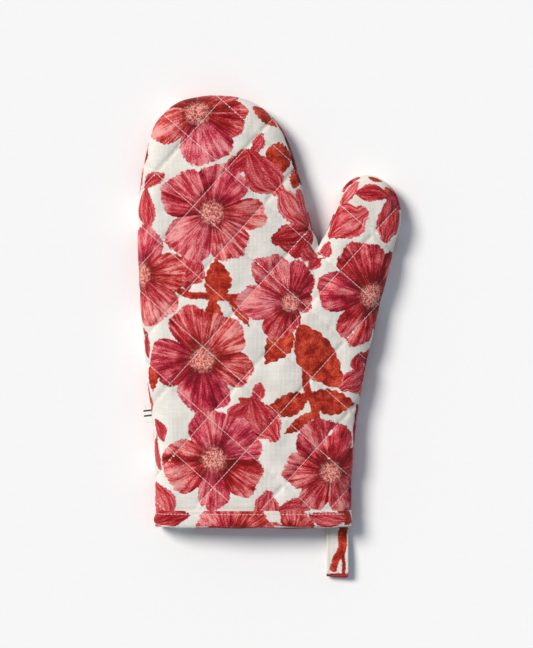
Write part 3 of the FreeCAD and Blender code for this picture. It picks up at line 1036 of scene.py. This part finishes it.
def buildPanel(side):
    skin, inner = skins[side], skins[side + "Inner"]
    name = side.capitalize()
    outer = layerPoints(skin, 0)
    under = layerPoints(skin, form["shellCloth"])
    points, faces = closedShell(outer, under, skin["faces"])
    shell = newPiece("shell" + name, points, faces, mittBody, ["shell_" + side],
                     printCloth)
    fabric = np.tile(skin["fabric"], (2, 1))
    if side == "back":
        setPrint(shell, fabric * backPrint["turn"], backPrint["shift"])
    else:
        setPrint(shell, fabric)
    # the relief shows inside too, shallower and the other way round
    points, faces = closedShell(layerPoints(inner, form["waddingFrom"], 1.0),
                                layerPoints(inner, form["waddingTo"], -0.4, False), inner["faces"])
    wadding = newPiece("wadding" + name, points, faces, mittBody, ["wadding_" + side],
                       waddingFibre)
    points, faces = closedShell(layerPoints(inner, form["liningFrom"], -0.45, False),
                                layerPoints(inner, form["liningTo"], -0.45, False), inner["faces"])
    lining = newPiece("lining" + name, points, faces, mittBody, ["lining_" + side],
                      liningCloth)
    return outer, skin["faces"]


surfaces = {side: buildPanel(side) for side in ("front", "back")}
print("panels")


def stitchTree():
    # a short thread laid at each step along a path, its flat side to the cloth
    tree = bpy.data.node_groups.new("stitchRow", "GeometryNodeTree")
    face = tree.interface
    face.new_socket("Path", in_out="INPUT", socket_type="NodeSocketGeometry")
    for name in ("Spacing", "Length", "Width", "Height"):
        face.new_socket(name, in_out="INPUT", socket_type="NodeSocketFloat")
    face.new_socket("Thread", in_out="INPUT", socket_type="NodeSocketMaterial")
    face.new_socket("Stitches", in_out="OUTPUT", socket_type="NodeSocketGeometry")
    given = add(tree, "NodeGroupInput").outputs
    curve = add(tree, "GeometryNodeMeshToCurve", {}, {0: given["Path"]})
    even = add(tree, "GeometryNodeResampleCurve", {"mode": "LENGTH"},
               {"Curve": curve.outputs[0], "Length": given["Spacing"]})
    ball = add(tree, "GeometryNodeMeshUVSphere", {}, {"Segments": 8, "Rings": 6, "Radius": 0.5})
    size = add(tree, "ShaderNodeCombineXYZ", {}, {0: given["Length"], 1: given["Width"], 2: given["Height"]})
    tangent = add(tree, "GeometryNodeInputTangent")
    upward = add(tree, "GeometryNodeInputNamedAttribute", {"data_type": "FLOAT_VECTOR"}, {"Name": "upward"})
    along = add(tree, "FunctionNodeAxesToRotation", {"primary_axis": "X", "secondary_axis": "Z"},
                {"Primary Axis": tangent.outputs[0], "Secondary Axis": upward.outputs[0]})
    placed = add(tree, "GeometryNodeInstanceOnPoints", {},
                 {"Points": even.outputs[0], "Instance": ball.outputs[0], "Rotation": along.outputs[0],
                  "Scale": size.outputs[0]})
    real = add(tree, "GeometryNodeRealizeInstances", {}, {0: placed.outputs[0]})
    smooth = add(tree, "GeometryNodeSetShadeSmooth", {}, {0: real.outputs[0]})
    done = add(tree, "GeometryNodeSetMaterial", {},
               {"Geometry": smooth.outputs[0], "Material": given["Thread"]})
    add(tree, "NodeGroupOutput", {}, {0: done.outputs[0]})
    return tree


stitchRow = stitchTree()
tabJoint = next(j for j in frame["joints"] if j["child"] == tabBody)


def sewRow(name, paths, sizes, thread, body, nodes):
    # paths is a list of (points, upward) in mm
    verts, edges, upward = [], [], []
    for points, normals in paths:
        base = len(verts)
        verts.extend(tuple(p) for p in np.asarray(points) * mm)
        upward.extend(normals)
        edges.extend((base + k, base + k + 1) for k in range(len(points) - 1))
    mesh = bpy.data.meshes.new(name + "Path")
    mesh.from_pydata(verts, edges, [])
    route = addObject(name + "Path", mesh)
    store(route, "upward", upward)
    modifier = route.modifiers.new("stitches", "NODES")
    modifier.node_group = stitchRow
    sockets = {s.name: s.identifier for s in stitchRow.interface.items_tree if s.in_out == "INPUT"}
    for key, value in sizes.items():
        modifier[sockets[key]] = value * mm
    modifier[sockets["Thread"]] = thread
    ready = route.evaluated_get(bpy.context.evaluated_depsgraph_get())
    result = bpy.data.meshes.new_from_object(ready)
    result.name = name
    bpy.data.objects.remove(route)
    for attribute in [a.name for a in result.attributes if a.name in ("upward", "UVMap")]:
        result.attributes.remove(result.attributes[attribute])
    addPiece(name, result, body, nodes)
    print(name, len(result.polygons), "faces")


rowCast = {
    "reach": 260,
    "step": 0.6,
    "from": 60,  # height that the row is dropped from
    "shortest": 12,  # steps; anything shorter isn't sewn
    "smoothing": 1.6,
    "lift": 0.12,  # of the thread's middle off the cloth
}


def castPaths(tree, start, heading, above, clearOf, clearance):
    # a straight line dropped onto a surface from above or below, as paths with their normals
    paths, chain = [], []
    for travel in np.arange(-rowCast["reach"], rowCast["reach"], rowCast["step"]):
        x, y = start + heading * travel
        spot, normal, _, _ = tree.ray_cast(Vector((x, y, rowCast["from"] * above)), Vector((0, 0, -above)))
        if spot and y > bindingHigh[1] + 1.0 and (spot - clearOf).length > clearance:
            chain.append((*spot, *normal))
        else:
            paths.append(chain)
            chain = []
    result = []
    for chain in paths + [chain]:
        if len(chain) > rowCast["shortest"]:
            even = smoothed(np.array(chain), rowCast["smoothing"])
            normals = unit(even[:, 3:])
            result.append((even[:, :3] + normals * rowCast["lift"], normals))
    return result


quiltStitch = {"Spacing": 2.9, "Length": 3.0, "Width": 0.46, "Height": 0.42}


def quiltPaths(side):
    points, faces = surfaces[side]
    tree = BVHTree.FromPolygons([tuple(p) for p in points], faces)
    above = 1 if side == "front" else -1
    # the rows on the back end short of where the side tab folds down
    clearOf = Vector(tabJoint["pos_m"]) / mm
    clearance = 0 if side == "front" else quilt["tabClearance"]
    node = np.array([quilt["nodeX"], quilt["nodeY"]])
    paths = []
    for along, step in quiltFamilies:
        for number in range(-5, 8):
            paths += castPaths(tree, node + step * number, along, above, clearOf, clearance)
    return paths


for side in ("front", "back"):
    sewRow("quiltThread" + side.capitalize(), quiltPaths(side), quiltStitch, quiltThread, mittBody,
           ["quilt_thread_" + side])

seamStitch = {"Spacing": 2.4, "Length": 2.1, "Width": 0.4, "Height": 0.35}


def seamPaths():
    skin = skins["front"]
    count = len(outlineOf(form["grid"])[0])
    spots = layerPoints(skin, seam["threadIn"])[:count]
    turn = skin["turn"][:count]
    normals = np.column_stack([skin["normal"][:count] * np.cos(turn)[:, None], np.sin(turn)])
    return [(spots, normals)]


sewRow("sideSeamThread", seamPaths(), seamStitch, quiltThread, mittBody, ["side_seam_thread"])
print("stitches")


binding = {
    "cloth": 0.6,
    "outside": -0.15,  # inset of the strip's inner face from the shell
    "inside": 5.6,
    "loopStep": 1.4,
    "lapX": 54.0,  # where the strip's end overlaps its start
    "stitchDown": 2.3,
    "stitchDent": 0.30,
    "belly": 0.42,  # how far the strip stands out between its stitches and the fold
    "wave": 0.22,
    "wrinkle": 0.10,
    "cornerRise": 2.3,  # the mouth's lower corners sit up a little
    "cornerReach": 2.8,
}


def cuffSection(step):
    # points round the mouth, anticlockwise from the left seam
    leftX, rightX = outlineFine[0, 0], outlineFine[-1, 0]
    quarter = math.pi / 2
    centre, normal, turn, front, distance = [], [], [], [], []

    def put(x, nx, angle, isFront, inward):
        centre.append((x, 0.0))
        normal.append((nx, 0.0))
        turn.append(angle)
        front.append(isFront)
        distance.append(inward)

    def flatPart(reach):
        number = round((rightX - leftX - 2 * reach) / step)
        return np.linspace(leftX + reach, rightX - reach, number + 1)[1:-1]

    reach = form["frontRound"]
    angles = np.linspace(0, quarter, round(reach * quarter / step) + 1)
    for angle in angles:
        put(leftX + reach, -1, angle, True, 0)
    for x in flatPart(reach):
        put(x, 0, quarter, True, min(x - leftX, rightX - x))
    for angle in angles[::-1]:
        put(rightX - reach, 1, angle, True, 0)
    reach = form["backRound"]
    angles = -np.linspace(0, quarter, round(reach * quarter / step) + 1)
    for angle in angles:
        put(rightX - reach, 1, angle, False, 0)
    for x in flatPart(reach)[::-1]:
        put(x, 0, -quarter, False, 30)
    for angle in angles[::-1]:
        put(leftX + reach, -1, angle, False, 0)
    return {"centre": np.array(centre), "normal": np.array(normal), "turn": np.array(turn),
            "front": np.array(front), "distance": np.array(distance, float)}


def sectionPoint(section, inset):
    # x and z round the section at one inset
    plan, height = smoothShape(section, inset)
    return np.stack([plan[:, 0], height], 1)


def sectionNormals(section):
    turn = section["turn"]
    return np.column_stack([section["normal"][:, 0] * np.cos(turn), np.zeros(len(turn)), np.sin(turn)])


def bindingProfile():
    # the strip's outer face across its width: (y, inset), from its front edge round the fold to the inside
    top, end = bindingHigh[1], bindingLow[1]
    cloth, out, inn = binding["cloth"], binding["outside"], binding["inside"]
    profile = [(top + 0.2, out + 0.05), (top + 0.35, out - cloth * 0.5), (top + 0.1, out - cloth)]
    stitchY = top - binding["stitchDown"]
    for y in np.arange(top - 0.5, end + 2.9, -0.55):
        dent = binding["stitchDent"] * math.exp(-((y - stitchY) / 0.7) ** 2)
        belly = binding["belly"] * math.sin(math.pi * np.clip((stitchY - y) / (stitchY - end), 0, 1))
        profile.append((y, out - cloth + dent - belly))
    middle = (out - cloth + inn + cloth) / 2
    half = (inn + cloth - (out - cloth)) / 2
    for angle in np.linspace(0.25, math.pi - 0.25, 9):
        profile.append((end + 2.7 - 2.7 * math.sin(angle), middle - half * math.cos(angle)))
    for y in np.arange(end + 3.0, top - 1.4, 0.9):
        profile.append((y, inn + cloth))
    profile.append((top - 1.2, inn + cloth * 0.5))
    profile.append((top - 1.4, inn + 0.05))
    return profile


def buildBinding():
    section = cuffSection(binding["loopStep"])
    outsideLine = sectionPoint(section, 0)
    count = len(outsideLine)
    closed = np.concatenate([outsideLine, outsideLine[:1]])
    run = runLength(closed)[:-1]
    outerProfile = bindingProfile()
    # the inner face follows the outer one a cloth's thickness in
    middle = (binding["outside"] + binding["inside"]) / 2
    innerProfile = []
    for y, inset in outerProfile[::-1]:
        y2 = y + (0.55 if y < bindingLow[1] + 2.4 else 0)
        innerProfile.append((y2, inset + math.copysign(binding["cloth"] * 0.85, middle - inset)))
    innerProfile = innerProfile[2:-2]
    rings = outerProfile + innerProfile
    points, fabric = [], []
    level = np.zeros(count)
    travelled = 0
    previous = rings[0]
    for number, (y, inset) in enumerate(rings):
        stretch = math.hypot(y - previous[0], inset - previous[1])
        travelled += stretch if number < len(outerProfile) else -stretch
        previous = (y, inset)
        wave = binding["wave"] * ripple(run, level + y * 0.3, 26, 21)
        wave += binding["wrinkle"] * ripple(run, level, 9, 22)
        line = sectionPoint(section, 0)
        lap = smoothStep(line[:, 0], binding["lapX"] - 0.3, binding["lapX"] + 0.3) * (section["turn"] > 0.3)
        lapEdge = np.exp(-((line[:, 0] - binding["lapX"]) / 0.7) ** 2)
        stand = (wave + 0.35 * lap - 0.5 * lapEdge) * float(inset < middle)
        stand = np.where(section["turn"] < -0.9, np.minimum(stand, 0), stand)
        line = sectionPoint(section, inset - stand)
        fullness = np.exp(-((y - bindingLow[1]) / 4) ** 2)
        toCorner = np.minimum(line[:, 0] - line[:, 0].min(), line[:, 0].max() - line[:, 0])
        ends = y - 0.35 * fullness * ripple(run, level, 30, 23)
        ends = ends + fullness * binding["cornerRise"] * np.exp(-toCorner / binding["cornerReach"])
        points.append(np.column_stack([line[:, 0], ends, line[:, 1]]))
        fabric.append(np.column_stack([run, np.full(count, -travelled)]))
    points, fabric = np.concatenate(points), np.concatenate(fabric)
    points[:, 2] = np.maximum(points[:, 2], 0.0)
    faces = []
    total = len(rings)
    for ring in range(total):
        onward = (ring + 1) % total
        for k in range(count):
            after = (k + 1) % count
            here, there = ring * count, onward * count
            faces.append([here + k, there + k, there + after, here + after])
    piece = newPiece("cuffBinding", points, faces, mittBody, ["cuff_binding"], printCloth)
    flip(piece)
    # the strip is cut from another part of the cloth
    setPrint(piece, fabric, (0.0, -400.0))
    return section


def flip(piece):
    # makes a closed piece's faces point outwards
    bm = bmesh.new()
    bm.from_mesh(piece.data)
    bmesh.ops.recalc_face_normals(bm, faces=bm.faces)
    bm.to_mesh(piece.data)
    bm.free()


cuff = buildBinding()
print("binding")

topStitch = {"Spacing": 2.7, "Length": 2.15, "Width": 0.6, "Height": 0.42}


def topStitchPath():
    y = bindingHigh[1] - binding["stitchDown"]
    line = sectionPoint(cuff, binding["outside"] - binding["cloth"] + 0.22)
    points = np.column_stack([line[:, 0], np.full(len(line), y), line[:, 1]])
    points[:, 2] = np.maximum(points[:, 2], 0.22)
    order = list(range(len(points))) + [0]
    return [(points[order], sectionNormals(cuff)[order])]


sewRow("bindingThread", topStitchPath(), topStitch, topThread, mittBody, ["binding_thread"])

tack = {"fromX": 55.6, "toX": 61.2, "up": 1.9, "proud": 1.0}
tackStitch = {"Spacing": 1.5, "Length": 1.7, "Width": 0.75, "Height": 0.5}


def tackPath():
    section = cuffSection(0.5)
    line = sectionPoint(section, binding["outside"] - binding["cloth"] - tack["proud"])
    chosen = (line[:, 0] > tack["fromX"]) & (line[:, 0] < tack["toX"]) & (section["turn"] > 0.1)
    line = line[chosen]
    y = bindingLow[1] + tack["up"]
    points = np.column_stack([line[:, 0], np.full(len(line), y), line[:, 1]])
    return [(points, sectionNormals(section)[chosen])]


sewRow("loopTackThread", tackPath(), tackStitch, tackThread, mittBody, ["loop_tack_thread"])


def pathNormals(path):
    along = unit(np.gradient(path, axis=0))
    return np.stack([-along[:, 1], along[:, 0]], 1)


def strap(name, path, width, cloth, centreAt, skew, body, node, material,
          corner=0.5, edgeRoll=0.0):
    # a flat strap swept along a side-view path of (y, z) points, its width along X about centreAt
    normal = pathNormals(path)
    half = width / 2
    edge = np.array([half - corner, half - corner * 0.3, half])
    across = np.concatenate([-edge[::-1], np.linspace(-half + 1.4, half - 1.4, 11), edge])
    thick = cloth / 2 * np.interp(np.abs(across), [0, *edge], [1, 1, 0.75, 0])
    section = list(zip(across, thick)) + list(zip(across[-2:0:-1], -thick[-2:0:-1]))
    length = runLength(path)
    points, fabric = [], []
    for k, spot in enumerate(path):
        share = length[k] / length[-1]
        slant = skew * 2 * (share if k < len(path) / 2 else 1 - share)
        for x, t in section:
            roll = edgeRoll * math.exp(-((abs(x) - half + 1.6) / 0.5) ** 2) * (1 if t > 0 else -1)
            y, z = spot + normal[k] * (t - roll * 0.5)
            points.append((centreAt + x, y + slant * x, z))
            fabric.append((x, -length[k]))
    count = len(section)
    faces = []
    for k in range(len(path) - 1):
        for j in range(count):
            after = (j + 1) % count
            faces.append([k * count + j, k * count + after, (k + 1) * count + after, (k + 1) * count + j])
    faces.append(list(range(count)))
    faces.append([(len(path) - 1) * count + j for j in range(count)][::-1])
    piece = newPiece(name, points, faces, body, [node], material)
    flip(piece)
    return piece, np.array(fabric), np.array(points)


loopJoint = next(j for j in frame["joints"] if j["child"] == loopBody)
loop = {
    "cloth": 1.15,
    "width": loopHigh[0] - loopLow[0],
    "skew": -0.09,  # one edge is a little longer, so the folded end slants
    "corner": 1.9,
    "edgeStitch": 1.8,
}


def loopPath():
    # side view, from the hem out along the top, round the fold and back underneath
    hingeY, hingeZ = loopJoint["pos_m"][1] / mm, loopJoint["pos_m"][2] / mm
    half = loop["cloth"] / 2
    fold = (loopHigh[2] - loopLow[2]) / 2 - half - 0.4
    farY = loopLow[1] + fold + half + 0.6
    upper = [(hingeY + 1.0, hingeZ + half), (hingeY - 3, hingeZ + half + 0.05), (hingeY - 8, hingeZ + 1.5),
             (hingeY - 16, hingeZ + 2.7), (hingeY - 25, hingeZ + 3.4), (farY, hingeZ + fold)]
    bend = [(farY - fold * math.sin(a), hingeZ + fold * math.cos(a))
            for a in np.linspace(0.2, math.pi - 0.2, 12)]
    lower = [(y, 2 * hingeZ - z) for y, z in upper[::-1]]
    route = resampled(np.array(upper + bend + lower), 0.7)
    return smoothed(route, 2.2)


def movePoints(piece, points):
    piece.data.vertices.foreach_set("co", (points * mm).ravel())
    piece.data.update()


def roundFold(piece, points, half, endY, corner):
    # the two corners at a folded end are rounded in plan
    outer = np.clip((np.abs(points[:, 0] - points[:, 0].mean()) - (half - corner)) / corner, 0, 1)
    limit = endY + corner * (1 - np.sqrt(1 - outer ** 2))
    points[:, 1] = np.maximum(points[:, 1], limit)
    movePoints(piece, points)


loopPiece, loopFabric, loopPoints = strap(
    "hangingLoop", loopPath(), loop["width"], loop["cloth"], (loopLow[0] + loopHigh[0]) / 2, loop["skew"],
    loopBody, "hanging_loop", printCloth, 0.5, 0.25)
roundFold(loopPiece, loopPoints, loop["width"] / 2, loopPoints[:, 1].min() + 0.4, loop["corner"])
# the darkest petal across the folded end is part print, part painted shade where the strap turns under
setPrint(loopPiece, loopFabric, (0.0, -500.0))

edgeStitch = {"Spacing": 2.6, "Length": 2.1, "Width": 0.5, "Height": 0.35}


def loopEdgePath():
    path = loopPath()
    path = path[:int(len(path) * 0.42)]
    normal = pathNormals(path)
    normal *= np.sign(normal[:, 1:2])
    spots = path + normal * (loop["cloth"] / 2 + 0.02)
    x = np.full(len(path), loopLow[0] + loop["edgeStitch"])
    spots = np.column_stack([x, spots[:, 0] + 0.1, spots[:, 1]])
    return [(spots, np.column_stack([np.zeros(len(path)), normal]))]


sewRow("loopEdgeThread", loopEdgePath(), edgeStitch, quiltThread, loopBody, ["loop_edge_thread"])
print("loop")


tab = {
    "width": 14.2,
    "cloth": 0.36,
    "standsOut": 5.3,
    "inSeam": 1.3,
    "corner": 1.6,
    "ground": "#eeece6",
    "stripe": "#34323a",
    "stripeAt": 1.9,  # each side of the middle
}


def wovenLabel():
    # damask-woven label: tight, smooth, two plain dark stripes across it
    material, tree, shader = newMaterial("wovenLabel", {"Roughness": 0.7, "Sheen Weight": 0.15})
    cloth = add(tree, "ShaderNodeAttribute", {"attribute_name": "cloth"}).outputs["Vector"]
    across = split(tree, cloth)[0]
    away = maths(tree, "SUBTRACT", maths(tree, "ABSOLUTE", across), tab["stripeAt"])
    mask = ranged(tree, maths(tree, "ABSOLUTE", away), 0.55, 0.75, 1.0, 0.0)
    colour = blend(tree, mask, linear(tab["ground"]), linear(tab["stripe"]))
    addWeave(tree, cloth, colour, shader, 0.6)
    return material


def buildTab():
    hinge = np.array(tabJoint["pos_m"]) / mm
    axis = Vector(tabJoint["axis"])
    gap = tab["cloth"] / 2 + 0.06
    foldY, inner = -tab["standsOut"], tab["inSeam"]
    route = [(inner, gap), (0, gap), (foldY + 1, gap)]
    route += [(foldY - gap * math.sin(a), gap * math.cos(a)) for a in np.linspace(0.3, math.pi - 0.3, 7)]
    route += [(foldY + 1, -gap), (0, -gap), (inner, -gap)]
    path = smoothed(resampled(np.array(route), 0.25), 1.2)
    piece, fabric, points = strap("sideTab", path, tab["width"], tab["cloth"], 0.0, 0.0, tabBody, "side_tab",
                                  wovenLabel(), 0.25)
    # corners at the fold are cut round; then the label turns to stand out from the seam
    roundFold(piece, points, tab["width"] / 2, foldY - gap, tab["corner"])
    along, out = np.array([axis.x, axis.y]), np.array([-axis.y, axis.x])
    plan = hinge[:2] + out * -points[:, 1:2] + along * points[:, 0:1]
    movePoints(piece, np.column_stack([plan, points[:, 2] + hinge[2]]))
    flip(piece)
    store(piece, "cloth", np.column_stack([fabric, np.zeros(len(fabric))]))
    return piece


buildTab()
print("tab")


studio = {
    "viewTall": 486.0,  # mm of floor seen from top to bottom
    "viewCentre": (-2.1, 10.0),
    "cameraHeight": 2500.0,
    "sensor": 36.0,
    "lightFrom": (-0.71, 0.48, 0.88),
    "lightAngle": 24.0,
    "lightPower": 3.36,
    "lightColour": (1.0, 0.952, 0.89),
    "skyPower": 0.36,
    "skyColour": (0.77, 0.87, 1.0, 1.0),
}


def buildStudio():
    floor = bpy.data.meshes.new("floor")
    reach = 4.0
    corners = [(-reach, -reach, 0), (reach, -reach, 0), (reach, reach, 0), (-reach, reach, 0)]
    floor.from_pydata(corners, [], [(0, 1, 2, 3)])
    ground = addObject("floor", floor)
    material, tree, shader = newMaterial("paperFloor", {"Roughness": 0.9, "Specular IOR Level": 0.1})
    grain = noise(tree, objectPlace(tree), 300.0, 2.0, 0.5)
    colour = ramped(tree, grain, [(0.2, "#f1f1f2"), (0.8, "#f3f3f3")])
    tree.links.new(colour, shader.inputs["Base Color"])
    floor.materials.append(material)
    lamp = bpy.data.lights.new("softLight", "SUN")
    lamp.energy = studio["lightPower"]
    lamp.angle = math.radians(studio["lightAngle"])
    lamp.color = studio["lightColour"]
    light = addObject("softLight", lamp)
    light.rotation_euler = Vector(studio["lightFrom"]).to_track_quat("Z", "Y").to_euler()
    world = bpy.data.worlds.new("studio")
    world.use_nodes = True
    sky = world.node_tree.nodes["Background"]
    sky.inputs[0].default_value = studio["skyColour"]
    sky.inputs[1].default_value = studio["skyPower"]
    bpy.context.scene.world = world
    bpy.context.scene.view_settings.view_transform = "Standard"
    middleZ = shellHigh[2] * 0.6
    eye = bpy.data.cameras.new("camera")
    eye.sensor_width = studio["sensor"]
    eye.lens = studio["sensor"] * studio["cameraHeight"] / studio["viewTall"]
    camera = addObject("camera", eye)
    x, y = studio["viewCentre"]
    camera.location = (x * mm, y * mm, (studio["cameraHeight"] + middleZ) * mm)
    bpy.context.scene.camera = camera


buildStudio()
